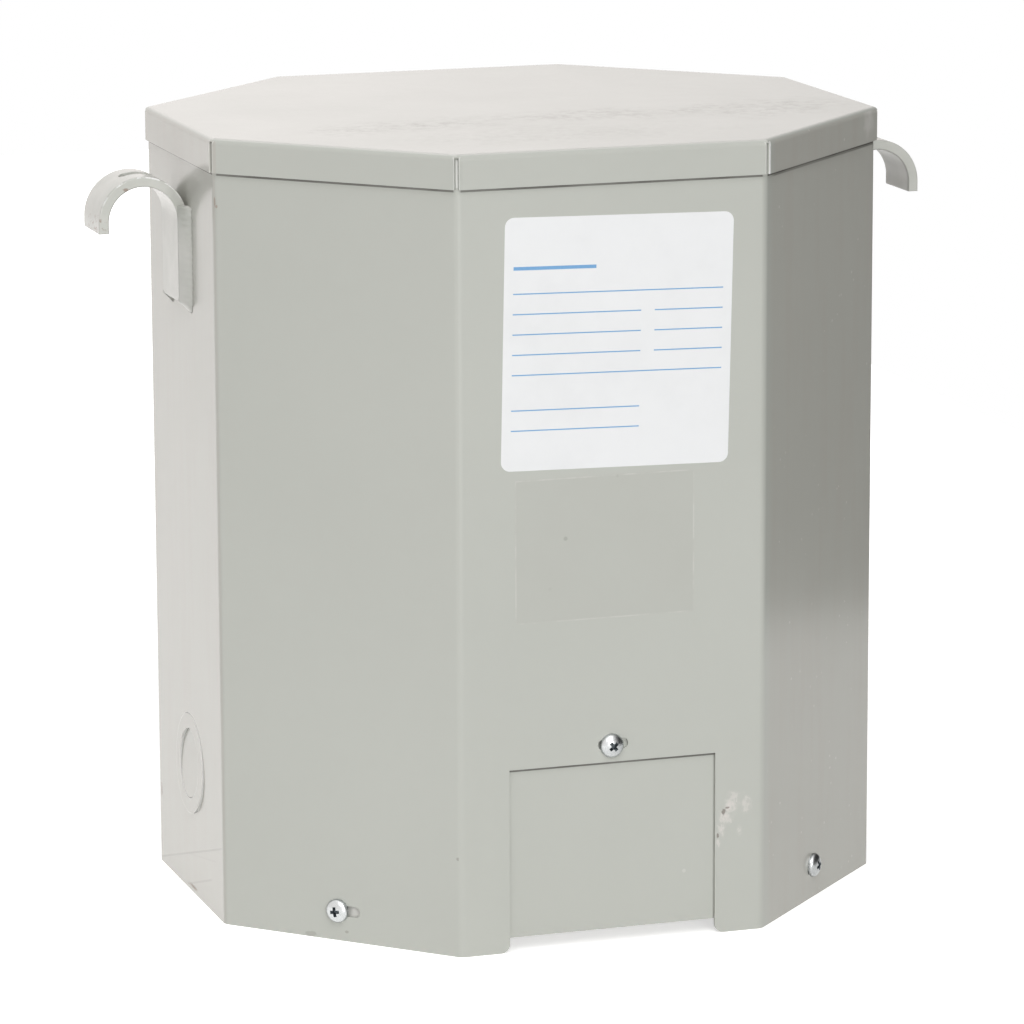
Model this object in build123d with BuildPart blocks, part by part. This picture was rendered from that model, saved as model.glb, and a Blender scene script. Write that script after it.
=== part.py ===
"""Floor-standing general purpose transformer in an eight-sided sheet-metal case.

A front shell with an access notch wraps the front, its corner faces and both sides, and
closes on a bent back shell. A pan lid with eight turned-down flanges caps both, a potted
core fills the case above the wiring compartment, and two strap hooks are welded to the
sides for lifting.
Millimetres, +Z up, front towards -Y, origin at the centre of the footprint.
"""
import os
from math import sqrt

from build123d import *

# Case
case_width = 337.0
case_depth = 307.0
case_height = 386.0
corner_leg = 92.0
sheet = 1.5
bend_radius = 1.5
corner_bend_radius = 3.5
lap_fit = 0.2
overrun = 5.0

# Lid
lid_clearance = 0.2
lid_flange = 16.5
lid_corner_cut = 1.25

# Shells, and the access plate behind the front one's notch
seat_flange = 14.0
leg_width = 24.4
notch_height = 90.0
leg_round = 4.5
slot_width = 5.3
centre_slot_length = 15.3
centre_slot_rise = 8.7
corner_slot_length = 16.5
corner_slot_height = 15.0
corner_slot_shift = 1.8
access_plate_lap = 14.0
access_plate_lift = 7.0

# Bottom pan
pan_lift = 7.0
pan_flange = 25.0
pan_corner_gap = 6.0

# Potted core
compartment_height = 112.0
core_headroom = 6.0

# Conduit knockouts in both sides
knockout_height = 66.0
outer_knockout = 50.4
inner_knockout = 34.5
knockout_gap = 0.25
ring_lift = 1.4
disc_drop = 1.5

# Lifting hooks and their welds
hook_width = 30.4
hook_thickness = 4.8
hook_setback = 3.2
hook_bend_radius = 17.1
hook_drop = 7.7
hook_leg_length = 40.0
hook_tip_drop = 5.0
hook_foot_round = 3.0
eye_length = 16.0
eye_width = 7.0
weld_reach = 9.0
weld_bulge = 0.5
weld_above_bend = 7.0
weld_below_foot = 5.0

# Wall straps on the back
strap_setback = 32.0
strap_height = 32.0
strap_corner = 5.0
upper_strap_drop = 56.0
lower_strap_height = 60.0
wall_slot_width = 9.0
wall_slot_length = 18.0
wall_slot_margin = 11.0

# Sizes that follow from the ones above
half_width = case_width / 2
half_depth = case_depth / 2
outer_bend = bend_radius + sheet
outer_corner = corner_bend_radius + sheet
lid_overhang = lid_clearance + sheet
notch_width = case_width - 2 * (corner_leg + leg_width)
lid_bend_rise = bend_radius - sqrt(bend_radius**2 - max(bend_radius - lid_clearance, 0) ** 2)
wall_top = case_height - sheet - lid_bend_rise - lap_fit
lap_inset = sheet + lap_fit
front_clearance = 2 * lap_inset
core_height = wall_top - core_headroom - compartment_height
hook_middle = hook_thickness / 2
hook_bend_height = case_height - lid_flange - hook_drop - hook_thickness - hook_bend_radius
hook_foot_height = hook_bend_height - hook_leg_length
upper_strap_height = case_height - upper_strap_drop
strap_half_length = half_width - strap_setback
wall_slot_offset = strap_half_length - wall_slot_margin - wall_slot_length / 2


def octagon(inset, back_inset=None, corner_inset=None):
    """Corners of the case outline, moved inwards, from the left rear one round by the front.

    The back with its corner faces, and the front's corner faces, may have insets of their own.
    """
    back_inset = inset if back_inset is None else back_inset
    corner_inset = inset if corner_inset is None else corner_inset
    side = half_width - inset
    front = half_depth - inset
    back = half_depth - back_inset
    diagonal = half_width + half_depth - corner_leg
    front_diagonal = diagonal - corner_inset * sqrt(2)
    back_diagonal = diagonal - back_inset * sqrt(2)
    return [
        (-side, back_diagonal - side),
        (-side, side - front_diagonal),
        (front - front_diagonal, -front),
        (front_diagonal - front, -front),
        (side, side - front_diagonal),
        (side, back_diagonal - side),
        (back_diagonal - back, back),
        (back - back_diagonal, back),
    ]


def wall_plane(corner):
    """Plane on the outside of the wall that starts at a corner: x along it, y up, z outwards."""
    corners = octagon(0)
    start = Vector(*corners[corner])
    end = Vector(*corners[(corner + 1) % len(corners)])
    run = end - start
    return Plane(origin=(start + end) / 2, x_dir=run, z_dir=run.rotate(Axis.Z, -90))


def knockout_plane(radius, low_out, high_out):
    """Plane across a left-hand knockout that leans: out of the wall by one amount below and another above."""
    low = left_wall.from_local_coords((0, knockout_height - radius, low_out))
    high = left_wall.from_local_coords((0, knockout_height + radius, high_out))
    return Plane(origin=(low + high) / 2, x_dir=left_wall.x_dir, z_dir=left_wall.x_dir.cross(high - low))


def mirrored(source):
    """The twin of a piece on the other side of the case."""
    with BuildPart() as twin:
        mirror(source.part, about=Plane.YZ)
    return twin


left_wall = wall_plane(0)
front_left_wall = wall_plane(1)
front_wall = wall_plane(2)
front_right_wall = wall_plane(3)
right_wall = wall_plane(4)
back_wall = wall_plane(6)

# Lid: an octagonal pan, with flanges cut square and open at the corners
with BuildPart() as lid:
    with BuildSketch(Plane.XY.offset(case_height - lid_flange)):
        with BuildLine():
            Polyline(*octagon(-lid_overhang), close=True)
        make_face()
    extrude(amount=lid_flange)
    fillet(lid.faces().sort_by(Axis.Z)[-1].edges(), radius=outer_bend)
    offset(amount=-sheet, openings=lid.faces().sort_by(Axis.Z)[0])
    for corner, (x, y) in enumerate(octagon(-lid_overhang)):
        for wall, side in ((corner, Align.MIN), (corner - 1, Align.MAX)):
            with Locations(Location((x, y, case_height - sheet), (0, 0, 180 + 45 * wall))):
                Box(
                    2 * lid_overhang,
                    lid_corner_cut,
                    lid_flange,
                    align=(Align.CENTER, side, Align.MAX),
                    mode=Mode.SUBTRACT,
                )

# Front shell: one sheet bent round the front, its two corner faces and both sides
with BuildPart() as front_shell:
    with BuildSketch():
        with BuildLine():
            FilletPolyline(*octagon(0)[:6], radius=outer_corner)
            offset(amount=sheet, side=Side.LEFT)
        make_face()
    extrude(amount=wall_top)
    with BuildSketch(front_wall):
        Rectangle(notch_width, notch_height, align=(Align.CENTER, Align.MIN))
        with Locations((0, notch_height + centre_slot_rise)):
            SlotOverall(centre_slot_length, slot_width)
    extrude(amount=-sheet - overrun, mode=Mode.SUBTRACT)
    for corner_wall, shift in ((front_left_wall, corner_slot_shift), (front_right_wall, -corner_slot_shift)):
        with BuildSketch(corner_wall):
            with Locations((shift, corner_slot_height)):
                SlotOverall(corner_slot_length, slot_width)
        extrude(amount=-sheet - overrun, mode=Mode.SUBTRACT)
    for side_wall in (left_wall, right_wall):
        with BuildSketch(side_wall):
            with Locations((0, knockout_height)):
                Circle(outer_knockout / 2)
        extrude(amount=-sheet - overrun, mode=Mode.SUBTRACT)
    leg_corners = front_shell.edges().filter_by(Axis.Y).group_by(Axis.Z)[0].group_by(Axis.Y)[0]
    fillet(leg_corners, radius=leg_round)

# Access plate: lies behind the notch, against the inside of the front shell
with BuildPart() as access_plate:
    with BuildSketch(front_wall.offset(-sheet)):
        with Locations((0, access_plate_lift)):
            Rectangle(
                notch_width + 2 * access_plate_lap,
                notch_height + access_plate_lap - access_plate_lift,
                align=(Align.CENTER, Align.MIN),
            )
    extrude(amount=-sheet)

# Back shell: one sheet bent round the back and its corner faces, lapped behind the sides
with BuildPart() as back_shell:
    shell_corners = octagon(lap_inset, back_inset=0)
    left_tip = Vector(*shell_corners[0]) - Vector(0, seat_flange)
    right_tip = Vector(-left_tip.X, left_tip.Y)
    with BuildSketch():
        with BuildLine():
            FilletPolyline(left_tip, shell_corners[0], *shell_corners[:4:-1], right_tip, radius=outer_corner)
            offset(amount=sheet, side=Side.RIGHT)
        make_face()
    extrude(amount=wall_top)

# Bottom pan: closes the case below the wiring compartment, and shows through the corner slots
with BuildPart() as bottom_pan:
    pan_corners = octagon(front_clearance, back_inset=lap_inset + lap_fit, corner_inset=lap_inset)
    with BuildSketch(Plane.XY.offset(pan_lift)):
        with BuildLine():
            Polyline(*pan_corners, close=True)
        make_face()
    extrude(amount=pan_flange)
    fillet(bottom_pan.faces().sort_by(Axis.Z)[0].edges(), radius=outer_bend)
    offset(amount=-sheet, openings=bottom_pan.faces().sort_by(Axis.Z)[-1])
    for corner, (x, y) in enumerate(pan_corners):
        with Locations(Location((x, y, pan_lift + outer_bend), (0, 0, 157.5 + 45 * corner))):
            Box(
                2 * pan_corner_gap,
                pan_corner_gap,
                pan_flange,
                align=(Align.CENTER, Align.CENTER, Align.MIN),
                mode=Mode.SUBTRACT,
            )

# Potted core: the cast block of core, coils and filling, bonded to the back shell
with BuildPart() as potted_core:
    with BuildSketch(Plane.XY.offset(compartment_height)) as core_outline:
        with BuildLine():
            Polyline(*octagon(front_clearance, back_inset=sheet), close=True)
        make_face()
        fillet(core_outline.vertices(), radius=outer_corner)
    extrude(amount=core_height)

# Knockouts: a ring that stands out at its foot, round a disc that is pushed in at its top
outer_radius = outer_knockout / 2
inner_radius = inner_knockout / 2
disc_low_out = ring_lift * (outer_radius + inner_radius) / outer_knockout
disc_high_out = ring_lift * (outer_radius - inner_radius) / outer_knockout - disc_drop
with BuildPart() as left_knockout_ring:
    with BuildSketch(knockout_plane(outer_radius, ring_lift, 0)):
        Circle(outer_radius - knockout_gap)
        Circle(inner_radius + knockout_gap, mode=Mode.SUBTRACT)
    extrude(amount=-sheet)

with BuildPart() as left_knockout_disc:
    with BuildSketch(knockout_plane(inner_radius, disc_low_out, disc_high_out)):
        Circle(inner_radius)
    extrude(amount=-sheet)

# Lifting hook: a flat strap on the wall, bent over outwards, with an eye through the bend
hook_place = left_wall.from_local_coords((-hook_setback, 0, 0))
hook_wall = Plane(origin=hook_place, x_dir=left_wall.x_dir, z_dir=left_wall.z_dir)
hook_section = Plane(origin=hook_place, x_dir=hook_wall.z_dir, z_dir=hook_wall.z_dir.cross(hook_wall.y_dir))
hook_centre = hook_thickness + hook_bend_radius
hook_tip = hook_centre + hook_bend_radius + hook_middle
hook_crown = hook_bend_height + hook_bend_radius + hook_middle
with BuildPart() as left_hook:
    with BuildSketch(hook_section):
        with BuildLine():
            leg = Line((hook_middle, hook_foot_height), (hook_middle, hook_bend_height))
            bend = ThreePointArc(leg @ 1, (hook_centre, hook_crown), (hook_tip, hook_bend_height))
            Line(bend @ 1, (hook_tip, hook_bend_height - hook_tip_drop))
        trace(line_width=hook_thickness)
    extrude(amount=hook_width / 2, both=True)
    foot_corners = left_hook.edges().filter_by(Axis.X).group_by(Axis.Z)[0]
    fillet(foot_corners, radius=hook_foot_round)
    eye_place = hook_wall.from_local_coords((0, hook_crown, hook_centre))
    with BuildSketch(Plane(origin=eye_place, x_dir=hook_wall.z_dir, z_dir=Vector(0, 0, 1))):
        SlotOverall(eye_length, eye_width)
    extrude(amount=hook_bend_radius, both=True, mode=Mode.SUBTRACT)

# Welds: a fillet down each edge of the hook's strap, as high as the strap and sloped off below its foot
weld_top = hook_bend_height + weld_above_bend
weld_foot = hook_foot_height - weld_below_foot
weld_root = hook_width / 2
weld_toe = weld_root + weld_reach
with BuildPart() as left_hook_front_weld:
    weld_place = hook_wall.from_local_coords((0, weld_foot, 0))
    with BuildSketch(Plane(origin=weld_place, x_dir=hook_wall.x_dir, z_dir=Vector(0, 0, 1))):
        with BuildLine():
            Polyline((weld_root, -hook_thickness), (weld_root, 0), (weld_toe, 0))
            SagittaArc((weld_toe, 0), (weld_root, -hook_thickness), weld_bulge)
        make_face()
    extrude(amount=weld_top - weld_foot)
    slope = hook_wall.y_dir * hook_thickness - hook_wall.z_dir * weld_below_foot
    split(bisect_by=Plane(origin=weld_place, x_dir=hook_wall.x_dir, z_dir=slope), keep=Keep.TOP)

with BuildPart() as left_hook_rear_weld:
    mirror(left_hook_front_weld.part, about=hook_section)

# Wall straps: flat strips across the back, as thick as the lid overhangs, slotted at the ends
def wall_strap(height):
    """One strap with its slots, centred at a height on the back wall."""
    with BuildPart() as strap:
        with BuildSketch(back_wall):
            with Locations((0, height)):
                RectangleRounded(2 * strap_half_length, strap_height, strap_corner)
            with Locations((-wall_slot_offset, height), (wall_slot_offset, height)):
                SlotOverall(wall_slot_length, wall_slot_width, mode=Mode.SUBTRACT)
        extrude(amount=lid_overhang)
    return strap


pieces = {
    "lid": lid,
    "front_shell": front_shell,
    "back_shell": back_shell,
    "access_plate": access_plate,
    "bottom_pan": bottom_pan,
    "potted_core": potted_core,
    "left_knockout_ring": left_knockout_ring,
    "left_knockout_disc": left_knockout_disc,
    "left_hook": left_hook,
    "left_hook_front_weld": left_hook_front_weld,
    "left_hook_rear_weld": left_hook_rear_weld,
    "right_knockout_ring": mirrored(left_knockout_ring),
    "right_knockout_disc": mirrored(left_knockout_disc),
    "right_hook": mirrored(left_hook),
    "right_hook_front_weld": mirrored(left_hook_front_weld),
    "right_hook_rear_weld": mirrored(left_hook_rear_weld),
    "upper_wall_strap": wall_strap(upper_strap_height),
    "lower_wall_strap": wall_strap(lower_strap_height),
}

os.makedirs("parts", exist_ok=True)
for name, piece in pieces.items():
    piece.part.label = name
    export_step(piece.part, f"parts/{name}.step")
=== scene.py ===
"""Looks of the general purpose transformer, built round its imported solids.

Every surface has a node material. The screws, weld beads, data plate with its rules, and clear
film are meshes made here. Lengths are metres in the solids' frame: +Z up, front towards -Y.
"""
from math import cos, pi, radians, sin, sqrt

import bmesh
import bpy
from mathutils import Euler, Matrix, Vector, noise

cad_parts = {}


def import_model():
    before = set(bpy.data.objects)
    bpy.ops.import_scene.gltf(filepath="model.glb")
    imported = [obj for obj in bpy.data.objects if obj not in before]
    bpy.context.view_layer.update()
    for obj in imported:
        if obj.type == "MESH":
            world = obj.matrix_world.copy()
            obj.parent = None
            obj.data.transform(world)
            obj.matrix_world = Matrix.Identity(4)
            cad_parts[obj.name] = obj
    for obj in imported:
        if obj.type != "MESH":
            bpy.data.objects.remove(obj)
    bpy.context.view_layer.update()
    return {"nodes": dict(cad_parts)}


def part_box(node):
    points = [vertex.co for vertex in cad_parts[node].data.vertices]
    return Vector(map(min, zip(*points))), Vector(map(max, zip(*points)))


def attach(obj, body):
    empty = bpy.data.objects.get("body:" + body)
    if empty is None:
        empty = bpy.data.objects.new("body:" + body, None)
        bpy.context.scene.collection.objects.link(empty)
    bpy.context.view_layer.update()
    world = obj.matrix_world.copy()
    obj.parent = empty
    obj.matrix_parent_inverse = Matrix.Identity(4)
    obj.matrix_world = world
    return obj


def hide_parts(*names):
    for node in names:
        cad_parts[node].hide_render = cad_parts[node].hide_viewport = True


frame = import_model()

MM = 0.001

# Case outline, read from the solids
shell_low, shell_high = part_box("front_shell")
lid_low, lid_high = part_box("lid")
half_width = shell_high.x
half_depth = -shell_low.y
corner_leg = 92 * MM
CORNERS = [
    (-half_width, half_depth - corner_leg),
    (-half_width, corner_leg - half_depth),
    (corner_leg - half_width, -half_depth),
    (half_width - corner_leg, -half_depth),
    (half_width, corner_leg - half_depth),
    (half_width, half_depth - corner_leg),
    (half_width - corner_leg, half_depth),
    (corner_leg - half_width, half_depth),
]
LEFT, FRONT_LEFT, FRONT, FRONT_RIGHT = range(4)

# Camera, at the photograph's place
camera_place = Vector((-0.8075, -2.4675, 0.7278))
camera_turn = Euler((radians(78.116), radians(0.236), radians(-18.169)))
camera_lens = 186.06
camera_sensor = 36.0
camera_clip = 50

# Screws: pan heads with a cross recess
head_radius = 5.8 * MM
head_height = 3.9 * MM
head_flank = 0.9 * MM
shank_radius = 2.1 * MM
shank_length = 3.2 * MM
recess_width = 5.4 * MM
recess_thickness = 1.7 * MM
recess_depth = 2.2 * MM
recess_mouth_share = 1.15
recess_floor_share = 0.5
recess_clear_share = 0.2
recess_skin = 0.1 * MM
screw_smooth_angle = 40

# Where each screw sits: wall, distance along it, height, and the turn of its recess in degrees
SCREWS = {
    "centre_screw": (FRONT, -0.8 * MM, 98.2 * MM, 40),
    "left_screw": (FRONT_LEFT, -1.9 * MM, 14.9 * MM, 8),
    "right_screw": (FRONT_RIGHT, -4.2 * MM, 16.6 * MM, 20),
}

# Data plate and clear film on the front
plate_width = 113.5 * MM
plate_height = 120.3 * MM
plate_round = 4.5 * MM
plate_thickness = 0.15 * MM
plate_centre = (2.3 * MM, 293.8 * MM)
plate_tilt = radians(-1.25)
film_width = 89.8 * MM
film_height = 69.4 * MM
film_round = 0.8 * MM
film_thickness = 0.06 * MM
film_rim = 0.9 * MM
film_centre = (-4.0 * MM, 195.4 * MM)
sheet_smooth_angle = 35

# Blank rules on the plate, as shares of its width and height: left end, right end, height, weight
rule_weight = 0.55 * MM
rule_lift = 0.02 * MM
RULE_SHARES = [
    (0.04, 0.40, 0.80, 3.0),
    (0.04, 0.96, 0.70, 1.0),
    (0.04, 0.60, 0.62, 1.0),
    (0.66, 0.96, 0.62, 1.0),
    (0.04, 0.60, 0.54, 1.0),
    (0.66, 0.96, 0.54, 1.0),
    (0.04, 0.60, 0.46, 1.0),
    (0.66, 0.96, 0.46, 1.0),
    (0.04, 0.96, 0.38, 1.0),
    (0.04, 0.60, 0.24, 1.0),
    (0.04, 0.60, 0.16, 1.0),
]

# Weld beads
bead_pitch = 3.4 * MM
bead_ripple_share = 0.07
bead_bulge_share = 0.08
bead_wander_share = 0.03
bead_wander_scale = 300
bead_slope = 5.0 * MM
bead_least_out = 0.02
bead_foot_share = 0.7
bead_end = 1.6 * MM
bead_crown_share = 0.8
bead_rows = 110
bead_columns = 9
bead_smooth_angle = 60

# Hooks: a bent strap that lies on the wall, the painted highlights on its edges, the painted shade in its
# bend and its rust
hook_low, hook_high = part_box("left_hook")
hook_thickness = 4.8 * MM
hook_inner_radius = 17.1 * MM
hook_outer_radius = hook_inner_radius + hook_thickness
hook_bend_out = hook_outer_radius
hook_bend_height = hook_high.z - hook_outer_radius
hook_edge = 0.9 * MM
hollow_near = 0.1 * MM
hollow_far = 0.5 * MM
hollow_line_near = 0.5 * MM
hollow_line_far = 3.0 * MM
hollow_back_share = 0.7
hook_spot = Vector((-198.7, -12.0, 355.9)) * MM
hook_spot_size = Vector((1.6, 2.0, 1.0)) * MM
tip_rust_inset = 10.0 * MM
tip_rust_drop = 0.9 * MM
tip_rust = Vector((hook_low.x, hook_low.y + tip_rust_inset, hook_bend_height - tip_rust_drop))
tip_rust_size = Vector((6.0, 16.0, 7.0)) * MM

# Masks: how soft their limits are, and how deep a face and a sheet's edge reach
mask_soft = 0.1 * MM
skin = 0.5 * MM
sheet_depth = 5.0 * MM
side_fade = 1.0 * MM
corner_fade_start = 2.0 * MM
corner_fade_end = 8.0 * MM

# Relief of the surfaces
fine_relief = 0.1 * MM
sand_relief = 0.3 * MM
ripple_relief = 0.5 * MM

# Marks on the walls, in mm: wall, distance along, height, half sizes along X, Y and Z, raggedness, grain
RUST_MARKS = [
    (FRONT_LEFT, -64.6, 355.5, (0.7, 0.7, 3.4), 0.5, 700.0),
    (FRONT_LEFT, -63.4, 353.5, (0.9, 0.9, 0.9), 0.5, 700.0),
    (LEFT, 2.0, 2.8, (3.0, 8.0, 1.0), 0.9, 400.0),
]
CHIPS = [
    (FRONT, 56.4, 60.2, (1.2, 3.0, 1.7), 0.7, 700.0),
    (FRONT, 58.4, 62.2, (1.6, 3.0, 0.5), 0.9, 700.0),
    (FRONT, 53.5, 48.4, (0.7, 3.0, 1.5), 0.8, 700.0),
]
DOTS = [
    (FRONT_LEFT, 2.8, 4.8, (1.4, 1.4, 0.8), 0.8, 900.0),
    (FRONT_LEFT, 63.0, 48.4, (0.9, 0.9, 1.2), 0.9, 900.0),
    (LEFT, -58.5, 38.0, (3.0, 2.4, 4.0), 0.8, 500.0),
]
SMEARS = [(FRONT_LEFT, -17.0, 1.4, (4.0, 4.0, 1.6), 0.9, 320.0)]
RUBBED_ENDS = [(FRONT_RIGHT, 54.0, 380.0, (9.0, 9.0, 12.0), 0.9, 120.0)]

# Scuffed patches on the front, in mm: distance along, height, half width, half height, strength
scuff_depth = 3.0
SCUFFS = [
    (62.0, 67.4, 5.4, 3.8, 0.6),
    (60.5, 62.8, 6.0, 4.8, 0.9),
    (68.0, 63.0, 3.8, 6.0, 0.5),
    (57.0, 56.8, 4.8, 4.8, 0.9),
    (55.2, 51.6, 3.4, 5.4, 0.8),
    (53.7, 44.6, 1.6, 4.4, 0.8),
    (64.7, 50.6, 1.9, 4.0, 0.4),
]

# Dark lines low on the left side, in mm: start and end as distance along and height, half width, strength.
# The first is a painted reflection of a line on the floor, the others faint scratches.
scratch_soft = 0.3 * MM
scratch_fade = 4.0 * MM
SCRATCH_AND_REFLECTION_LINES = [
    ((-60.9, 2.0), (58.3, 37.0), 0.5, 0.3),
    ((-9.0, 1.4), (38.3, 16.0), 0.5, 0.22),
    ((-7.9, 17.6), (46.5, 27.3), 0.3, 0.1),
]

# Smudges on the lid's top, in mm: place across and along, half sizes across and along, strength
smudge_depth = 9.0
SMUDGES = [
    (-70, -54, 90, 30, 1.0),
    (20, -44, 110, 34, 1.0),
    (116, -48, 64, 50, 1.0),
    (-14, -100, 120, 60, 0.45),
]

# Lid: where its flanges and its top begin below its highest level, and the cut edges at its open corners,
# which get painted highlights
flange_start = 0.8 * MM
flange_full = 1.4 * MM
top_start = 1.0 * MM
top_full = 0.1 * MM
cut_near = 1.5 * MM
cut_far = 1.9 * MM
white_cut_near = 1.2 * MM
white_cut_far = 2.3 * MM
white_cut_fade = 0.4 * MM

# Painted light: pale paint on the knockouts' steps, and on the shells' rim that shows in the lid's open
# corners
step_inside = 0.15 * MM
step_outside = 0.35 * MM
step_soft = 0.05 * MM
rim_start = 0.6 * MM
rim_full = 1.0 * MM

# Painted shade greying the left front corner: its heights, and how far the lid's flange stands out
shade_start = 60 * MM
shade_full = 260 * MM
flange_stand = 3.0 * MM

# Painted shade: dark lines where sheets lap
notch_half = 52.1 * MM
notch_top = 90.0 * MM
slot_top = 17.6 * MM
slot_half = 12.0 * MM
lap_line = 1.3 * MM
right_lap_line = 2.1 * MM
lap_rise = 0.3 * MM
open_corner_near = 1.2 * MM
open_corner_far = 2.2 * MM

# Floor and light
floor_right = 0.70
floor_reach = 2.6
glow_near = 0.45
glow_far = 1.3
floor_glow = 0.56
mirror_glow = 0.36
mirror_reach = 0.3
dark_start = 0.1
dark_full = 0.8
lamp_target = (0, 0, 0.2)
white = (1.0, 1.0, 1.0, 1.0)
surround_colour = (1.0, 0.955, 0.930, 1.0)

# Lamps: place, size and power in watts
LAMPS = {
    "key": ((-0.8, -3.6, 4.4), 4.0, 132),
    "top": ((-0.4, 1.0, 4.8), 4.0, 36),
    "front": ((0.1, -3.6, 0.7), 1.3, 29),
}


def wall_matrix(wall):
    """Frame of an outside wall: x along it, y up, z outwards, origin at its middle on the floor."""
    start = Vector((*CORNERS[wall], 0))
    end = Vector((*CORNERS[(wall + 1) % len(CORNERS)], 0))
    along = (end - start).normalized()
    up = Vector((0, 0, 1))
    out = along.cross(up)
    matrix = Matrix((along, up, out)).transposed().to_4x4()
    matrix.translation = (start + end) / 2
    return matrix


def on_wall(wall, run, height):
    """A point on a wall, by its distance along from the wall's middle and its height."""
    return wall_matrix(wall) @ Vector((run, height, 0))


def srgb(red, green, blue):
    """A colour written as it looks on screen, 0 to 255, as linear values for a node."""
    def linear(level):
        share = level / 255
        return share / 12.92 if share <= 0.04045 else ((share + 0.055) / 1.055) ** 2.4
    return (linear(red), linear(green), linear(blue), 1.0)


class Tree:
    """The node tree of a material or world, with one short call for each kind of node used here."""

    def __init__(self, owner, shader="Principled BSDF", place="Object"):
        owner.use_nodes = True
        self.owner = owner
        self.nodes = owner.node_tree.nodes
        self.links = owner.node_tree.links
        self.shader = self.nodes[shader]
        self.place = self.add("ShaderNodeTexCoord").outputs[place]

    def add(self, kind, inputs=None, **settings):
        """A node of that kind, with its settings, and its sockets set or linked."""
        node = self.nodes.new(kind)
        for key, value in settings.items():
            setattr(node, key, value)
        for key, value in (inputs or {}).items():
            self.feed(node.inputs[key], value)
        return node

    def feed(self, socket, value):
        """Links a socket to an output, or sets it to a plain value."""
        if isinstance(value, bpy.types.NodeSocket):
            self.links.new(value, socket)
        else:
            socket.default_value = value

    def set(self, **inputs):
        """Sets or links the main shader's sockets, by their names with spaces as underscores."""
        for key, value in inputs.items():
            self.feed(self.shader.inputs[key.replace("_", " ")], value)

    def stretched(self, scale, turn=(0, 0, 0)):
        """The surface's coordinates, turned and scaled, for a drawn-out noise."""
        mapping = self.add("ShaderNodeMapping", {"Vector": self.place, "Rotation": turn, "Scale": scale})
        return mapping.outputs["Vector"]

    def noise(self, scale, detail=2.0, rough=0.5, place=None):
        """Smooth noise between 0 and 1."""
        node = self.add(
            "ShaderNodeTexNoise",
            {
                "Vector": self.place if place is None else place,
                "Scale": scale,
                "Detail": detail,
                "Roughness": rough,
            },
        )
        return node.outputs["Fac"]

    def cells(self, scale):
        """Distance to the nearest of many scattered points, for specks."""
        return self.add("ShaderNodeTexVoronoi", {"Vector": self.place, "Scale": scale}).outputs["Distance"]

    def math(self, operation, first, second=0.0, clamp=False):
        """One step of arithmetic."""
        node = self.add("ShaderNodeMath", operation=operation, use_clamp=clamp)
        self.feed(node.inputs[0], first)
        self.feed(node.inputs[1], second)
        return node.outputs[0]

    def ramp(self, value, low, high, to_low=0.0, to_high=1.0):
        """A smooth step from one value to another while the input goes from low to high."""
        node = self.add(
            "ShaderNodeMapRange",
            {"Value": value, "From Min": low, "From Max": high, "To Min": to_low, "To Max": to_high},
            interpolation_type="SMOOTHSTEP",
        )
        return node.outputs["Result"]

    def mix(self, factor, first, second):
        """A colour that goes from the first to the second as the factor goes from 0 to 1."""
        node = self.add("ShaderNodeMix", data_type="RGBA", blend_type="MIX")
        self.feed(node.inputs[0], factor)
        self.feed(node.inputs[6], first)
        self.feed(node.inputs[7], second)
        return node.outputs[2]

    def axis(self, name):
        """One coordinate of the surface."""
        return self.add("ShaderNodeSeparateXYZ", {"Vector": self.place}).outputs[name]

    def along(self, start, direction):
        """Distance from a point, measured along a direction."""
        shift = self.add("ShaderNodeVectorMath", {0: self.place, 1: start}, operation="SUBTRACT")
        node = self.add("ShaderNodeVectorMath", {0: shift.outputs[0], 1: direction}, operation="DOT_PRODUCT")
        return node.outputs["Value"]

    def band(self, value, low, high, soft=mask_soft):
        """A mask that is 1 while a value lies between two limits."""
        rise = self.ramp(value, low - soft, low + soft)
        fall = self.ramp(value, high + soft, high - soft)
        return self.math("MULTIPLY", rise, fall)

    def all(self, masks):
        """The product of masks and strengths."""
        result = masks[0]
        for mask in masks[1:]:
            result = self.math("MULTIPLY", result, mask)
        return result

    def blot(self, centre, size, ragged=0.5, grain=260.0, core=0.6):
        """A mask that is 1 in the core of an uneven patch of that half size and fades to 0 at its rim."""
        shift = self.add("ShaderNodeVectorMath", {0: self.place, 1: centre}, operation="SUBTRACT")
        share = self.add("ShaderNodeVectorMath", {0: shift.outputs[0], 1: size}, operation="DIVIDE")
        reach = self.add("ShaderNodeVectorMath", {0: share.outputs[0]}, operation="LENGTH").outputs["Value"]
        edge = self.math("MULTIPLY", self.math("SUBTRACT", self.noise(grain, 3.0), 0.5), 2 * ragged)
        return self.ramp(self.math("ADD", reach, edge), 1.0, core)

    def most(self, masks):
        """The strongest of several masks."""
        result = masks[0]
        for mask in masks[1:]:
            result = self.math("MAXIMUM", result, mask)
        return result

    def ring(self, centre, axes):
        """Distance from a line through a point, square to the axes that are 1."""
        shift = self.add("ShaderNodeVectorMath", {0: self.place, 1: centre}, operation="SUBTRACT")
        flat = self.add("ShaderNodeVectorMath", {0: shift.outputs[0], 1: axes}, operation="MULTIPLY")
        return self.add("ShaderNodeVectorMath", {0: flat.outputs[0]}, operation="LENGTH").outputs["Value"]

    def bump(self, height, strength, distance, edge=0.0):
        """Small relief; edge is the radius that the shading gives to sharp edges."""
        inputs = {"Height": height, "Strength": strength, "Distance": distance}
        if edge:
            inputs["Normal"] = self.add("ShaderNodeBevel", {"Radius": edge}, samples=6).outputs["Normal"]
        return self.add("ShaderNodeBump", inputs).outputs["Normal"]


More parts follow.
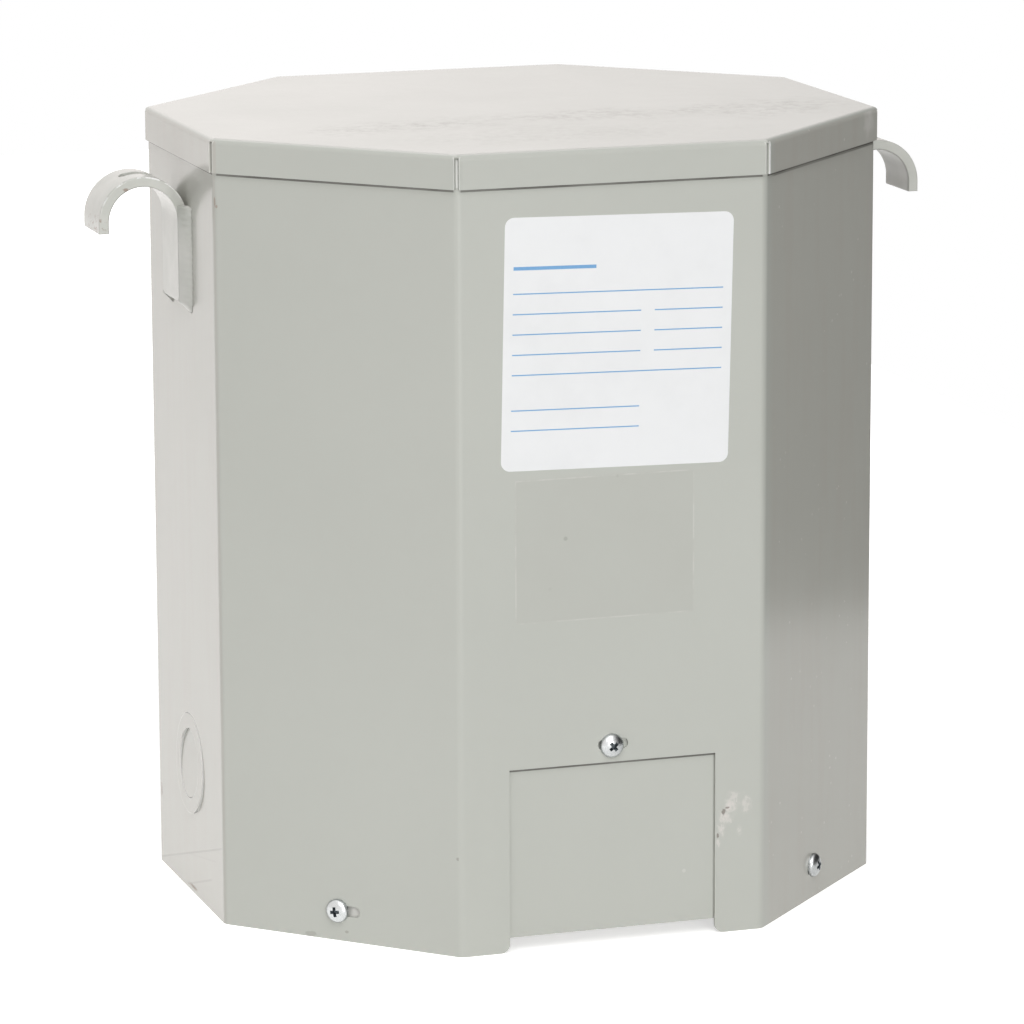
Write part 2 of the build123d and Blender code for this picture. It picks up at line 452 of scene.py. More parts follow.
# Materials
paint_colour = srgb(191, 193, 186)
paint_shade = srgb(188, 190, 183)
film_colour = srgb(185, 186, 179)
# Pale colour of dust, rubbed paint and film edges, also used as painted light on the bottom pan
dust_and_light_colour = srgb(224, 222, 218)
# Colour of painted light and painted highlights on steps, rims and cut edges
painted_light_colour = srgb(246, 246, 244)
streak_colour = srgb(176, 152, 142)
# Colour of grime, smudges and flecks, and of painted shade in the hooks' bends and on the left front corner
grime_and_shade_colour = srgb(120, 118, 110)
rust_colour = srgb(121, 84, 58)
chip_colour = srgb(104, 88, 80)
scuff_colour = srgb(228, 221, 217)
# Colour of the painted shade in the laps between sheets
lap_shade_colour = srgb(74, 71, 66)


def enamel(tree):
    """Light grey enamel, slightly mottled, with a few specks of dust under it."""
    cloud = tree.ramp(tree.noise(7.0, 3.0, 0.5), 0.2, 0.8)
    colour = tree.mix(cloud, paint_shade, paint_colour)
    speck = tree.ramp(tree.cells(38.0), 0.045, 0.03)
    sparse = tree.ramp(tree.noise(17.0, 2.0), 0.58, 0.62)
    return tree.mix(tree.all([speck, sparse, 0.3]), colour, dust_and_light_colour)


def enamel_finish(tree, colour, rough=0.0, edge=0.0):
    """Feeds the enamel's colour, gloss, orange peel and soft edges to the shader."""
    gloss = tree.ramp(tree.noise(24.0, 4.0, 0.6), 0.25, 0.75, 0.17, 0.21)
    peel = tree.noise(420.0, 2.0)
    tree.set(
        Base_Color=colour,
        Roughness=tree.math("ADD", gloss, rough, clamp=True),
        Normal=tree.bump(peel, 0.05, fine_relief, edge),
    )
    return tree.owner


def behind(tree, wall):
    """A mask of what lies just inside a wall's outer face: cut edges and the sheet behind them."""
    out = wall_matrix(wall).to_3x3() @ Vector((0, 0, 1))
    return tree.band(tree.along(on_wall(wall, 0, 0), out), -sheet_depth, -skin)


def right_corner(tree):
    """A mask of all that lies to the right of the front face."""
    corner_x = half_width - corner_leg
    return tree.ramp(tree.axis("X"), corner_x + corner_fade_start, corner_x + corner_fade_end)


def lap_shade(tree):
    """Painted shade: dark lines under the lid's flanges, open at its corners, round the notch and above the
    corner slots.
    """
    high = tree.axis("Z")
    across = tree.axis("X")
    uneven = tree.ramp(tree.noise(40.0, 2.0), 0.3, 0.7, 0.75, 1.0)
    lid_line = tree.band(high, lid_low.z - lap_line, lid_low.z + lap_rise)
    wider_line = tree.band(high, lid_low.z - right_lap_line, lid_low.z + lap_rise, lap_rise)
    right_line = tree.all([wider_line, right_corner(tree), 0.6])
    open_corners = []
    for x, y in CORNERS:
        open_corners.append(tree.ramp(tree.ring((x, y, 0), (1, 1, 0)), open_corner_near, open_corner_far))
    under_lid = tree.all([tree.most([lid_line, right_line]), *open_corners])
    notch = behind(tree, FRONT)
    below_top = tree.band(high, 0, notch_top + lap_line)
    between = tree.band(across, -notch_half, notch_half)
    right_edge = tree.band(across, notch_half - lap_line / 2, notch_half + lap_line)
    left_edge = tree.band(across, -notch_half - lap_line, -notch_half + lap_line / 4)
    head = tree.all([notch, between, tree.band(high, notch_top - lap_line, notch_top)])
    right = tree.all([notch, below_top, right_edge, 0.4])
    left = tree.all([notch, below_top, left_edge, 0.5])
    slots = []
    for wall in (FRONT_LEFT, FRONT_RIGHT):
        run = wall_matrix(wall).to_3x3() @ Vector((1, 0, 0))
        near = tree.band(tree.along(on_wall(wall, 0, 0), run), -slot_half, slot_half)
        edge = tree.band(high, slot_top - lap_line / 2, slot_top + lap_line)
        slots.append(tree.all([near, edge, behind(tree, wall)]))
    return tree.math("MULTIPLY", tree.most([under_lid, head, right, left, *slots]), uneven)


def painted_light_edges(tree):
    """Painted light: paler paint that lightens the steps of the knockouts and the rim under the lid, seen in
    its open corners.
    """
    steps = []
    for side in ("left", "right"):
        for part in ("ring", "disc"):
            low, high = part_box(f"{side}_knockout_{part}")
            radius = (high.z - low.z) / 2
            away = tree.ring((low + high) / 2, (0, 1, 1))
            steps.append(tree.band(away, radius - step_inside, radius + step_outside, step_soft))
    inside = half_width - sheet_depth
    outer = tree.ramp(tree.math("ABSOLUTE", tree.axis("X")), inside, inside + side_fade)
    rim = tree.ramp(tree.axis("Z"), lid_low.z + rim_start, lid_low.z + rim_full)
    return tree.most([tree.all([tree.most(steps), outer, 0.85]), tree.math("MULTIPLY", rim, 0.5)])


def side_streaks(tree):
    """A faint brownish film that runs in streaks down the left side and the right front corner."""
    left = tree.ramp(tree.axis("X"), side_fade - half_width, skin - half_width)
    streak = tree.ramp(tree.noise(110.0, 4.0, 0.6, tree.stretched((1.0, 1.0, 0.1))), 0.42, 0.72, 0.6, 1.0)
    return tree.math("MULTIPLY", tree.math("MAXIMUM", left, right_corner(tree)), streak)


def corner_dust(tree):
    """Sparse pale specks on the right front corner and the lid's flange above it."""
    speck = tree.ramp(tree.cells(150.0), 0.12, 0.08)
    sparse = tree.ramp(tree.noise(34.0, 3.0), 0.48, 0.58)
    return tree.all([speck, sparse, right_corner(tree), 0.42])


def painted_corner_shade(tree):
    """Painted shade: a slight greying towards the top of the left front corner face."""
    out = wall_matrix(FRONT_LEFT).to_3x3() @ Vector((0, 0, 1))
    face = tree.band(tree.along(on_wall(FRONT_LEFT, 0, 0), out), -skin, flange_stand)
    return tree.math("MULTIPLY", face, tree.ramp(tree.axis("Z"), shade_start, shade_full))


def wall_marks(tree, marks, core=0.6):
    """A mask of uneven patches on the walls, from rows of places and sizes."""
    patches = []
    for wall, run, height, size, ragged, grain in marks:
        place = on_wall(wall, run * MM, height * MM)
        patches.append(tree.blot(place, Vector(size) * MM, ragged, grain, core))
    return tree.most(patches)


def scuff_marks(tree):
    """A mask of the patches on the front where the paint is scraped at a slant."""
    patches = []
    for run, height, wide, tall, strength in SCUFFS:
        size = Vector((wide, scuff_depth, tall)) * MM
        patch = tree.blot(on_wall(FRONT, run * MM, height * MM), size, 0.7, 320.0, 0.1)
        patches.append(tree.math("MULTIPLY", patch, strength))
    scraped = tree.noise(420.0, 4.0, 0.6, tree.stretched((1.0, 1.0, 0.55), (0, radians(-30), 0)))
    return tree.math("MULTIPLY", tree.most(patches), tree.ramp(scraped, 0.36, 0.64, 0.25, 1.0))


def scratch_and_reflection_lines(tree):
    """A mask of faint dark lines low on the left side: a painted reflection of a line on the floor, and faint
    scratches.
    """
    left_face = tree.band(tree.axis("X"), -half_width - skin, -half_width + skin)
    lines = []
    for (start_run, start_height), (end_run, end_height), half, strength in SCRATCH_AND_REFLECTION_LINES:
        start = on_wall(LEFT, start_run * MM, start_height * MM)
        way = on_wall(LEFT, end_run * MM, end_height * MM) - start
        aside = way.cross(Vector((1, 0, 0))).normalized()
        width = tree.band(tree.along(start, aside), -half * MM, half * MM, scratch_soft)
        length = tree.band(tree.along(start, way.normalized()), 0, way.length, scratch_fade)
        lines.append(tree.all([left_face, width, length, strength]))
    return tree.most(lines)


def case_paint():
    """Enamel of the shells, with the scuff, chips and rust marks that the photograph shows, painted shade in
    the laps and towards the top of the left front corner, painted light on the knockouts' steps and the rim
    under the lid, and a painted reflection low on the left side.
    """
    tree = Tree(bpy.data.materials.new("case_paint"))
    colour = tree.mix(tree.math("MULTIPLY", side_streaks(tree), 0.16), enamel(tree), streak_colour)
    colour = tree.mix(corner_dust(tree), colour, dust_and_light_colour)
    # Painted shade towards the top of the left front corner
    colour = tree.mix(tree.math("MULTIPLY", painted_corner_shade(tree), 0.06), colour, grime_and_shade_colour)
    # Painted light on the knockouts' steps and on the rim that shows in the lid's open corners
    colour = tree.mix(painted_light_edges(tree), colour, painted_light_colour)
    rust = wall_marks(tree, RUST_MARKS)
    scuff = scuff_marks(tree)
    chip = wall_marks(tree, CHIPS)
    dots = wall_marks(tree, DOTS)
    smear = wall_marks(tree, SMEARS)
    colour = tree.mix(tree.math("MULTIPLY", smear, 0.3), colour, grime_and_shade_colour)
    # A painted reflection and faint scratches low on the left side
    colour = tree.mix(scratch_and_reflection_lines(tree), colour, grime_and_shade_colour)
    colour = tree.mix(tree.math("MULTIPLY", scuff, 0.75), colour, scuff_colour)
    colour = tree.mix(tree.math("MULTIPLY", rust, 0.5), colour, rust_colour)
    colour = tree.mix(tree.math("MULTIPLY", chip, 0.65), colour, chip_colour)
    colour = tree.mix(tree.math("MULTIPLY", dots, 0.35), colour, chip_colour)
    # Painted shade in the laps between sheets
    colour = tree.mix(tree.math("MULTIPLY", lap_shade(tree), 0.85), colour, lap_shade_colour)
    worn = tree.math("MULTIPLY", tree.most([scuff, rust]), 0.3)
    return enamel_finish(tree, colour, worn)


def pan_paint():
    """Enamel of the bottom pan, which shows through the corner slots, painted paler there as painted light.
    """
    tree = Tree(bpy.data.materials.new("pan_paint"))
    # Painted light: the pan is lightened where it shows through the corner slots
    slot_light = tree.ramp(tree.noise(60.0, 3.0), 0.3, 0.7, 0.6, 0.9)
    colour = tree.mix(slot_light, enamel(tree), dust_and_light_colour)
    # Painted shade in the laps, seen through the corner slots
    colour = tree.mix(tree.math("MULTIPLY", lap_shade(tree), 0.85), colour, lap_shade_colour)
    return enamel_finish(tree, colour)


def lid_paint():
    """Enamel of the lid: painted highlights on its cut corners, settled dust on its top and a band of faint
    grey smudges.
    """
    tree = Tree(bpy.data.materials.new("lid_paint"))
    corners = [tree.band(tree.ring((x, y, 0), (1, 1, 0)), cut_near, cut_far) for x, y in CORNERS]
    below_bend = tree.ramp(tree.axis("Z"), lid_high.z - flange_start, lid_high.z - flange_full)
    streaks = tree.all([side_streaks(tree), below_bend, 0.2])
    colour = tree.mix(streaks, enamel(tree), streak_colour)
    colour = tree.mix(corner_dust(tree), colour, dust_and_light_colour)
    rubbed_end = wall_marks(tree, RUBBED_ENDS, 0.0)
    colour = tree.mix(tree.all([rubbed_end, below_bend, 0.5]), colour, dust_and_light_colour)
    # Painted shade towards the top of the lid's left front flange
    colour = tree.mix(tree.math("MULTIPLY", painted_corner_shade(tree), 0.05), colour, grime_and_shade_colour)
    # Painted highlights on the cut edges at the lid's open corners
    colour = tree.mix(tree.all([tree.most(corners), below_bend, 0.35]), colour, painted_light_colour)
    # Painted highlight on the cut edge of the right front flange
    right_x, right_y = CORNERS[FRONT_RIGHT]
    cut_edge = tree.band(tree.ring((right_x, right_y, 0), (1, 1, 0)), white_cut_near, white_cut_far)
    beyond = tree.ramp(tree.axis("X"), right_x, right_x + white_cut_fade)
    colour = tree.mix(tree.all([cut_edge, beyond, below_bend, 0.8]), colour, painted_light_colour)
    top = tree.ramp(tree.axis("Z"), lid_high.z - top_start, lid_high.z - top_full)
    veil = tree.ramp(tree.noise(14.0, 4.0, 0.6), 0.2, 0.8, 0.4, 0.55)
    colour = tree.mix(tree.math("MULTIPLY", top, veil), colour, dust_and_light_colour)
    smudges = []
    for x, y, half_x, half_y, strength in SMUDGES:
        size = Vector((half_x, half_y, smudge_depth)) * MM
        smudge = tree.blot((x * MM, y * MM, lid_high.z), size, 0.5, 40.0, 0.0)
        smudges.append(tree.math("MULTIPLY", smudge, strength))
    mottle = tree.ramp(tree.noise(170.0, 7.0, 0.72), 0.36, 0.72, 0.0, 0.48)
    grey = tree.all([tree.most(smudges), mottle, top])
    colour = tree.mix(grey, colour, grime_and_shade_colour)
    dots = tree.all([tree.ramp(tree.cells(30.0), 0.035, 0.02), tree.ramp(tree.noise(13.0), 0.55, 0.6), top])
    colour = tree.mix(tree.math("MULTIPLY", dots, 0.6), colour, grime_and_shade_colour)
    return enamel_finish(tree, colour, tree.math("MULTIPLY", grey, 0.15))


def hook_glints(tree):
    """Painted highlights: bright, broken glints along the outer edges of the left hook's bend."""
    middle_y = (hook_low.y + hook_high.y) / 2
    away = tree.ring((-half_width - hook_bend_out, 0, hook_bend_height), (1, 0, 1))
    rim = tree.ramp(away, hook_outer_radius - hook_edge, hook_outer_radius - hook_edge / 2)
    aside = tree.math("ABSOLUTE", tree.math("SUBTRACT", tree.axis("Y"), middle_y))
    half = hook_high.y - middle_y
    edge = tree.ramp(aside, half - hook_edge, half - hook_edge / 2)
    crown = tree.ramp(tree.axis("Z"), hook_bend_height, hook_bend_height + hook_outer_radius)
    broken = tree.ramp(tree.noise(170.0, 3.0, 0.6), 0.44, 0.58)
    return tree.all([rim, edge, crown, broken, tree.ramp(tree.axis("X"), 0, -half_width)])


def hook_hollow_shade(tree):
    """Painted shade on the inner faces of the hooks' bends, darkest along their front edges."""
    aside = tree.math("SUBTRACT", tree.math("ABSOLUTE", tree.axis("X")), half_width + hook_bend_out)
    rise = tree.math("MAXIMUM", tree.math("SUBTRACT", tree.axis("Z"), hook_bend_height), 0.0)
    away = tree.math("SQRT", tree.math("ADD", tree.math("POWER", aside, 2.0), tree.math("POWER", rise, 2.0)))
    face = tree.ramp(away, hook_inner_radius + hollow_far, hook_inner_radius + hollow_near)
    outer = tree.ramp(aside, -hollow_back_share * hook_inner_radius, 0)
    line = tree.ramp(tree.axis("Y"), hook_low.y + hollow_line_far, hook_low.y + hollow_line_near, 0.2, 0.6)
    return tree.all([face, outer, line])


def hook_paint():
    """Enamel of the hooks and welds: painted shade in the bends, painted highlights on the left one's edges,
    rusty where thin.
    """
    tree = Tree(bpy.data.materials.new("hook_paint"))
    colour = tree.mix(tree.ramp(tree.noise(60.0, 3.0), 0.3, 0.7, 0.1, 0.4), enamel(tree), dust_and_light_colour)
    # Painted shade in the hooks' bends
    colour = tree.mix(hook_hollow_shade(tree), colour, grime_and_shade_colour)
    # Painted highlights along the left hook's edges
    colour = tree.mix(tree.math("MULTIPLY", hook_glints(tree), 0.8), colour, white)
    thin = tree.ramp(tree.noise(45.0), 0.55, 0.65)
    pits = tree.all([tree.ramp(tree.noise(330.0, 3.0, 0.6), 0.7, 0.76), thin, 0.5])
    spot = tree.blot(hook_spot, hook_spot_size, 0.6, 700.0)
    tip = tree.blot(tip_rust, tip_rust_size, 0.4, 200.0)
    tip_pits = tree.all([tip, tree.ramp(tree.noise(420.0, 3.0, 0.6), 0.56, 0.62)])
    rust = tree.most([pits, tree.math("MULTIPLY", tree.most([spot, tip_pits]), 0.6)])
    return enamel_finish(tree, tree.mix(rust, colour, rust_colour), 0.0, hook_edge)


def potting():
    """Dark cast resin of the core block, with sand showing through."""
    tree = Tree(bpy.data.materials.new("potting"))
    grain = tree.noise(900.0, 3.0)
    colour = tree.mix(grain, srgb(38, 37, 36), srgb(66, 64, 61))
    rough = tree.ramp(grain, 0.3, 0.7, 0.6, 0.85)
    tree.set(Base_Color=colour, Roughness=rough, Normal=tree.bump(grain, 0.3, sand_relief))
    return tree.owner


def zinc():
    """Bright zinc plating with faint stains and uneven gloss."""
    tree = Tree(bpy.data.materials.new("zinc"))
    stain = tree.noise(700.0, 4.0, 0.6)
    colour = tree.mix(stain, srgb(172, 176, 177), srgb(196, 200, 202))
    rough = tree.ramp(tree.noise(1500.0, 3.0), 0.3, 0.7, 0.26, 0.34)
    tree.set(Base_Color=colour, Metallic=1.0, Roughness=rough, Normal=tree.bump(stain, 0.08, fine_relief))
    return tree.owner


def painted_recess_shade():
    """Painted shade: darker, duller zinc on the faces down in the screws' recesses."""
    tree = Tree(bpy.data.materials.new("painted_recess_shade"))
    oil = tree.noise(1200.0, 3.0)
    colour = tree.mix(tree.ramp(oil, 0.35, 0.7), srgb(58, 66, 71), srgb(112, 120, 124))
    tree.set(Base_Color=colour, Metallic=0.6, Roughness=tree.ramp(oil, 0.3, 0.7, 0.35, 0.55))
    return tree.owner


def plate_face():
    """White printed film of the data plate: slight gloss, faint ripples, soiling and a few flecks."""
    tree = Tree(bpy.data.materials.new("plate_face"))
    soil = tree.ramp(tree.noise(30.0, 4.0, 0.6), 0.35, 0.8)
    colour = tree.mix(soil, srgb(238, 239, 240), srgb(233, 234, 235))
    fleck = tree.all([tree.ramp(tree.cells(40.0), 0.04, 0.025), tree.ramp(tree.noise(20.0), 0.55, 0.6), 0.3])
    colour = tree.mix(fleck, colour, grime_and_shade_colour)
    ripple = tree.noise(22.0, 2.0)
    rough = tree.ramp(soil, 0.0, 1.0, 0.3, 0.4)
    tree.set(Base_Color=colour, Roughness=rough, Normal=tree.bump(ripple, 0.15, ripple_relief))
    return tree.owner


def plate_ink():
    """Blue ink of the blank rules, a little uneven as it was printed."""
    tree = Tree(bpy.data.materials.new("plate_ink"))
    uneven = tree.noise(1400.0, 3.0)
    colour = tree.mix(uneven, srgb(96, 154, 206), srgb(128, 178, 220))
    tree.set(Base_Color=colour, Roughness=tree.ramp(uneven, 0.3, 0.7, 0.35, 0.5))
    return tree.owner


def clear_film():
    """Clear film over the paint: a shade darker than it, with trapped bubbles, spots and a lifted rim."""
    tree = Tree(bpy.data.materials.new("clear_film"))
    bubble = tree.ramp(tree.cells(60.0), 0.06, 0.04)
    sparse = tree.ramp(tree.noise(30.0, 2.0), 0.55, 0.6)
    mark = tree.math("MULTIPLY", bubble, sparse)
    tint = tree.mix(tree.noise(25.0, 3.0), paint_shade, film_colour)
    centre = on_wall(FRONT, *film_centre)
    wide = tree.math("ABSOLUTE", tree.along(centre, (1, 0, 0)))
    tall = tree.math("ABSOLUTE", tree.along(centre, (0, 0, 1)))
    rim = tree.most([
        tree.ramp(wide, film_width / 2 - film_rim, film_width / 2 - film_rim / 2),
        tree.ramp(tall, film_height / 2 - film_rim, film_height / 2 - film_rim / 2),
    ])
    lifted = tree.math("MULTIPLY", rim, tree.ramp(tree.noise(120.0, 3.0), 0.4, 0.65, 0.06, 0.3))
    spot = tree.all([tree.ramp(tree.cells(70.0), 0.09, 0.05), tree.ramp(tree.noise(24.0), 0.46, 0.52), 0.3])
    colour = tree.mix(tree.most([tree.math("MULTIPLY", mark, 0.5), lifted]), tint, dust_and_light_colour)
    tree.set(
        Base_Color=tree.mix(spot, colour, grime_and_shade_colour),
        Roughness=tree.ramp(tree.noise(90.0), 0.3, 0.7, 0.16, 0.24),
        Normal=tree.bump(mark, 0.15, fine_relief),
    )
    return tree.owner


def use(piece, material):
    """Gives a piece that material alone."""
    piece.data.materials.clear()
    piece.data.materials.append(material)


# Meshes
def add_piece(name, mesh, material):
    """Shows a mesh as a piece of the fixed body."""
    mesh.validate()
    piece = bpy.data.objects.new(name, mesh)
    bpy.context.scene.collection.objects.link(piece)
    use(piece, material)
    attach(piece, "root")
    return piece


def smooth(mesh, angle):
    """Smooth shading, with edges sharper than an angle in degrees left sharp."""
    mesh.shade_smooth()
    mesh.set_sharp_from_angle(angle=radians(angle))


def mesh_from(name, form, angle=sheet_smooth_angle):
    """The finished mesh of a form, which is then freed."""
    mesh = bpy.data.meshes.new(name)
    bmesh.ops.recalc_face_normals(form, faces=form.faces)
    form.to_mesh(mesh)
    form.free()
    smooth(mesh, angle)
    return mesh


def lathe(profile, segments=48):
    """A closed turned form from (radius, height) points, first and last of radius 0."""
    form = bmesh.new()
    rings = []
    for radius, height in profile:
        if radius == 0:
            rings.append([form.verts.new((0, 0, height))])
            continue
        angles = [2 * pi * i / segments for i in range(segments)]
        rings.append([form.verts.new((radius * cos(a), radius * sin(a), height)) for a in angles])
    for low, high in zip(rings, rings[1:]):
        for i in range(segments):
            j = (i + 1) % segments
            corners = [low[i % len(low)], low[j % len(low)], high[j % len(high)], high[i % len(high)]]
            form.faces.new(list(dict.fromkeys(corners)))
    return form


def blade(width, thickness, top, depth):
    """One tapered wing of a cross recess, as a cutter."""
    form = bmesh.new()
    levels = []
    for height, share in ((top, recess_mouth_share), (top - depth, recess_floor_share)):
        half_w = width / 2 * share
        half_t = thickness / 2 * (0.5 + share / 2)
        corners = ((-half_w, -half_t), (half_w, -half_t), (half_w, half_t), (-half_w, half_t))
        levels.append([form.verts.new((x, y, height)) for x, y in corners])
    upper, lower = levels
    form.faces.new(upper)
    form.faces.new(lower[::-1])
    for i in range(4):
        j = (i + 1) % 4
        form.faces.new((upper[j], upper[i], lower[i], lower[j]))
    return form


def screw_mesh():
    """A pan head with its cross recess and the shank that goes through the sheet."""
    steps = 8
    dome = head_height - head_flank
    angles = [i / steps * pi / 2 for i in range(steps)]
    profile = [(0, -shank_length), (shank_radius, -shank_length), (shank_radius, 0), (head_radius, 0)]
    profile += [(head_radius * cos(a), head_flank + dome * sin(a)) for a in angles]
    profile += [(0, head_height)]
    head = bpy.data.objects.new("screw_blank", mesh_from("screw_blank", lathe(profile)))
    bpy.context.scene.collection.objects.link(head)
    cutters = []
    for turn in (0, pi / 2):
        above = head_height * recess_clear_share
        depth = recess_depth + above
        form = blade(recess_width, recess_thickness, head_height + above, depth)
        cutter = bpy.data.objects.new("recess", mesh_from("recess", form))
        cutter.rotation_euler.z = turn
        bpy.context.scene.collection.objects.link(cutter)
        cut = head.modifiers.new("recess", "BOOLEAN")
        cut.object = cutter
        cut.operation = "DIFFERENCE"
        cut.solver = "EXACT"
        cutters.append(cutter)
    graph = bpy.context.evaluated_depsgraph_get()
    mesh = bpy.data.meshes.new_from_object(head.evaluated_get(graph))
    for helper in (head, *cutters):
        bpy.data.objects.remove(helper)
    smooth(mesh, screw_smooth_angle)
    return mesh


def recess_faces(mesh):
    """Places, in the list of a screw's faces, of those that lie below its dome."""
    found = []
    for face in mesh.polygons:
        x, y, z = face.center
        share = min((x * x + y * y) / head_radius ** 2, 1)
        dome = head_flank + (head_height - head_flank) * sqrt(1 - share)
        if 0 < z < dome - recess_skin and share < (recess_width / 2 / head_radius) ** 2:
            found.append(face.index)
    return found


def rounded_sheet(width, height, round_radius, thickness, arc_steps=8):
    """A flat sheet with rounded corners, lying on z = 0."""
    form = bmesh.new()
    outline = []
    for quarter, (sx, sy) in enumerate(((1, 1), (-1, 1), (-1, -1), (1, -1))):
        centre = Vector((sx * (width / 2 - round_radius), sy * (height / 2 - round_radius), 0))
        for i in range(arc_steps + 1):
            angle = (quarter + i / arc_steps) * pi / 2
            outline.append(form.verts.new(centre + round_radius * Vector((cos(angle), sin(angle), 0))))
    face = form.faces.new(outline)
    upper = bmesh.ops.extrude_face_region(form, geom=[face])["geom"]
    raised = [v for v in upper if isinstance(v, bmesh.types.BMVert)]
    bmesh.ops.translate(form, vec=(0, 0, thickness), verts=raised)
    return form


def rules_form():
    """Thin blank rules, each a low box, in the plate's own plane."""
    form = bmesh.new()
    for left, right, high, weight in RULE_SHARES:
        width = (right - left) * plate_width
        middle_share = (left + right - 1) / 2
        centre = Vector((middle_share * plate_width, (high - 0.5) * plate_height, plate_thickness))
        box = bmesh.ops.create_cube(form, size=1.0)["verts"]
        size = Vector((width, rule_weight * weight, 2 * rule_lift))
        bmesh.ops.scale(form, vec=size, verts=box)
        bmesh.ops.translate(form, vec=centre, verts=box)
    return form


def weld_bead(node):
    """A faintly rippled fillet in the place of a plain one, flush with the strap and pointed below."""
    low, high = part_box(node)
    wall_x, strap_x = sorted((low.x, high.x), key=abs)
    strap_y, wall_y = sorted((low.y, high.y), key=abs)
    root = Vector((wall_x, strap_y, 0))
    wall_leg = Vector((0, wall_y - strap_y, 0))
    strap_leg = Vector((strap_x - wall_x, 0, 0))
    form = bmesh.new()
    rows = []
    length = high.z - low.z
    for i in range(bead_rows + 1):
        rise = length * i / bead_rows
        height = low.z + rise
        wander = noise.noise(Vector((root.x, root.y, height)) * bead_wander_scale)
        wave = bead_ripple_share * abs(sin(pi * height / bead_pitch + wander))
        ripple = 1 - wave + bead_wander_share * wander
        out = max(min(rise / bead_slope, 1), bead_least_out)
        crest = min((length - rise) / bead_end, 1)
        foot_reach = bead_foot_share + (1 - bead_foot_share) * sqrt(out)
        crown_reach = bead_crown_share + (1 - bead_crown_share) * sqrt(1 - (1 - crest) ** 2)
        reach = ripple * foot_reach * crown_reach
        foot = root + Vector((0, 0, height))
        row = [form.verts.new(foot)]
        for j in range(bead_columns):
            t = j / (bead_columns - 1)
            point = (1 - t) * reach * wall_leg + t * out * strap_leg
            bulge = bead_bulge_share * sin(pi * t) * out * ripple * (wall_leg + strap_leg)
            row.append(form.verts.new(foot + point + bulge))
        rows.append(row)
    for lower, upper in zip(rows, rows[1:]):
        for j in range(len(lower)):
            k = (j + 1) % len(lower)
            form.faces.new((lower[j], lower[k], upper[k], upper[j]))
    form.faces.new(rows[0][::-1])
    form.faces.new(rows[-1])
    return form


# Finish of the solids
paint = case_paint()
hook_finish = hook_paint()
finishes = {"lid": lid_paint(), "bottom_pan": pan_paint(), "potted_core": potting()}
for name, node in frame["nodes"].items():
    use(node, finishes.get(name, hook_finish if "hook" in name else paint))

# Pieces on the solids
for side in ("left", "right"):
    for edge in ("front", "rear"):
        node = f"{side}_hook_{edge}_weld"
        mesh = mesh_from("bead", weld_bead(node), bead_smooth_angle)
        bead = add_piece(f"{side}_{edge}_bead", mesh, hook_finish)
        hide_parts(node)

bright_zinc = zinc()
shade = painted_recess_shade()
screw = screw_mesh()
in_recess = recess_faces(screw)
for name, (wall, run, height, turn) in SCREWS.items():
    mesh = screw.copy()
    seat = wall_matrix(wall) @ Matrix.Translation((run, height, 0))
    mesh.transform(seat @ Matrix.Rotation(radians(turn), 4, "Z"))
    piece = add_piece(name, mesh, bright_zinc)
    # Painted shade on the faces down in the recesses
    piece.data.materials.append(shade)
    for index in in_recess:
        piece.data.polygons[index].material_index = 1

plate_seat = wall_matrix(FRONT) @ Matrix.Translation((*plate_centre, 0))
plate_matrix = plate_seat @ Matrix.Rotation(plate_tilt, 4, "Z")
plate = mesh_from("data_plate", rounded_sheet(plate_width, plate_height, plate_round, plate_thickness))
rules = mesh_from("data_plate_rules", rules_form())
film = mesh_from("clear_film", rounded_sheet(film_width, film_height, film_round, film_thickness))
plate.transform(plate_matrix)
rules.transform(plate_matrix)
film.transform(wall_matrix(FRONT) @ Matrix.Translation((*film_centre, 0)))
add_piece("data_plate", plate, plate_face())
add_piece("data_plate_rules", rules, plate_ink())
add_piece("clear_film", film, clear_film())


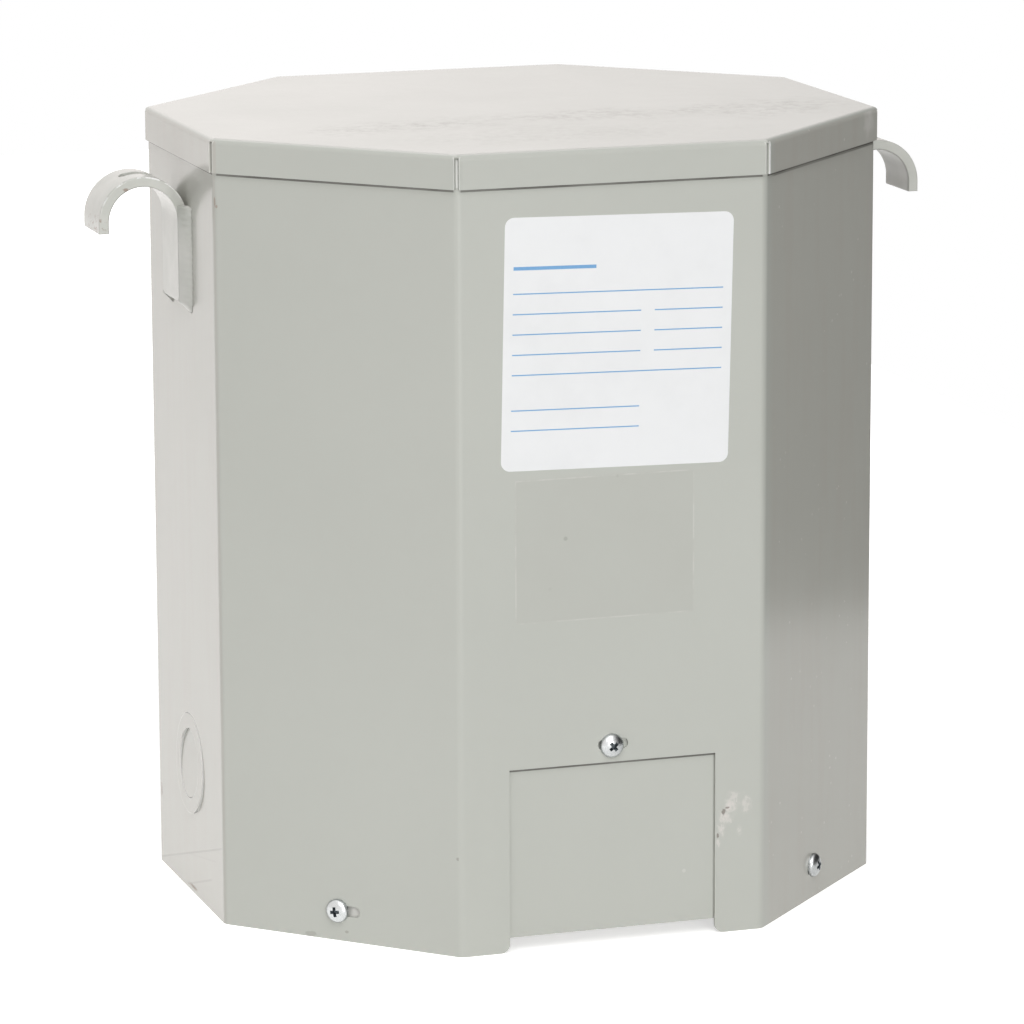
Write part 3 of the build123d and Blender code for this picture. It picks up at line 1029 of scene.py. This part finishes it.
# Floor, world, lamps and camera
def floor():
    """Plain pale floor that keeps the shadow near the object and fades to white away from it."""
    mesh = bpy.data.meshes.new("floor")
    left = -floor_reach
    corners = [(left, left, 0), (floor_right, left, 0), (floor_right, floor_reach, 0), (left, floor_reach, 0)]
    mesh.from_pydata(corners, [], [(0, 1, 2, 3)])
    plane = bpy.data.objects.new("floor", mesh)
    bpy.context.scene.collection.objects.link(plane)
    tree = Tree(bpy.data.materials.new("floor"))
    reach = tree.add("ShaderNodeVectorMath", {0: tree.place}, operation="LENGTH").outputs["Value"]
    ray = tree.add("ShaderNodeLightPath").outputs
    mirrored = tree.math("MAXIMUM", ray["Is Glossy Ray"], ray["Is Transmission Ray"])
    seen = tree.math("MULTIPLY", ray["Is Camera Ray"], tree.ramp(reach, glow_near, glow_far, floor_glow, 1.0))
    sideways = tree.ramp(tree.axis("X"), mirror_reach, -mirror_reach, mirror_glow, 1.0)
    shown = tree.math("MULTIPLY", mirrored, sideways)
    glow = tree.math("ADD", seen, shown)
    colour = tree.mix(tree.noise(3.0, 2.0), srgb(240, 240, 239), srgb(243, 243, 242))
    tint = tree.mix(mirrored, white, surround_colour)
    tree.set(Base_Color=colour, Roughness=0.9, Emission_Color=tint, Emission_Strength=glow)
    use(plane, tree.owner)


def world(ambient, surround, dark_share):
    """Even studio surround, dark on the right, and white where the camera looks past the floor."""
    studio = bpy.data.worlds.new("studio")
    bpy.context.scene.world = studio
    tree = Tree(studio, "Background", "Generated")
    ray = tree.add("ShaderNodeLightPath").outputs
    side = tree.ramp(tree.axis("X"), dark_start, dark_full, 1.0, dark_share)
    mirrored = tree.math("MAXIMUM", ray["Is Glossy Ray"], ray["Is Transmission Ray"])
    level = tree.math("ADD", tree.math("MULTIPLY", mirrored, surround - ambient), ambient)
    unseen = tree.math("SUBTRACT", 1.0, ray["Is Camera Ray"])
    strength = tree.math("ADD", ray["Is Camera Ray"], tree.all([unseen, side, level]))
    tree.set(Color=tree.mix(mirrored, white, surround_colour), Strength=strength)


def softbox(name, place, size, power):
    """A white, square area lamp that faces the middle of the object."""
    lamp = bpy.data.lights.new(name, "AREA")
    lamp.size = size
    lamp.energy = power
    holder = bpy.data.objects.new(name, lamp)
    holder.location = place
    holder.rotation_euler = (Vector(lamp_target) - Vector(place)).to_track_quat("-Z", "Y").to_euler()
    bpy.context.scene.collection.objects.link(holder)


def camera():
    """The camera at the photograph's viewing angle."""
    data = bpy.data.cameras.new("camera")
    data.lens = camera_lens
    data.sensor_width = camera_sensor
    data.clip_end = camera_clip
    holder = bpy.data.objects.new("camera", data)
    holder.location = camera_place
    holder.rotation_euler = camera_turn
    bpy.context.scene.collection.objects.link(holder)
    bpy.context.scene.camera = holder


floor()
world(ambient=0.43, surround=1.42, dark_share=0.02)
for name, (place, size, power) in LAMPS.items():
    softbox(name, place, size, power)
camera()
bpy.context.scene.view_settings.view_transform = "Standard"
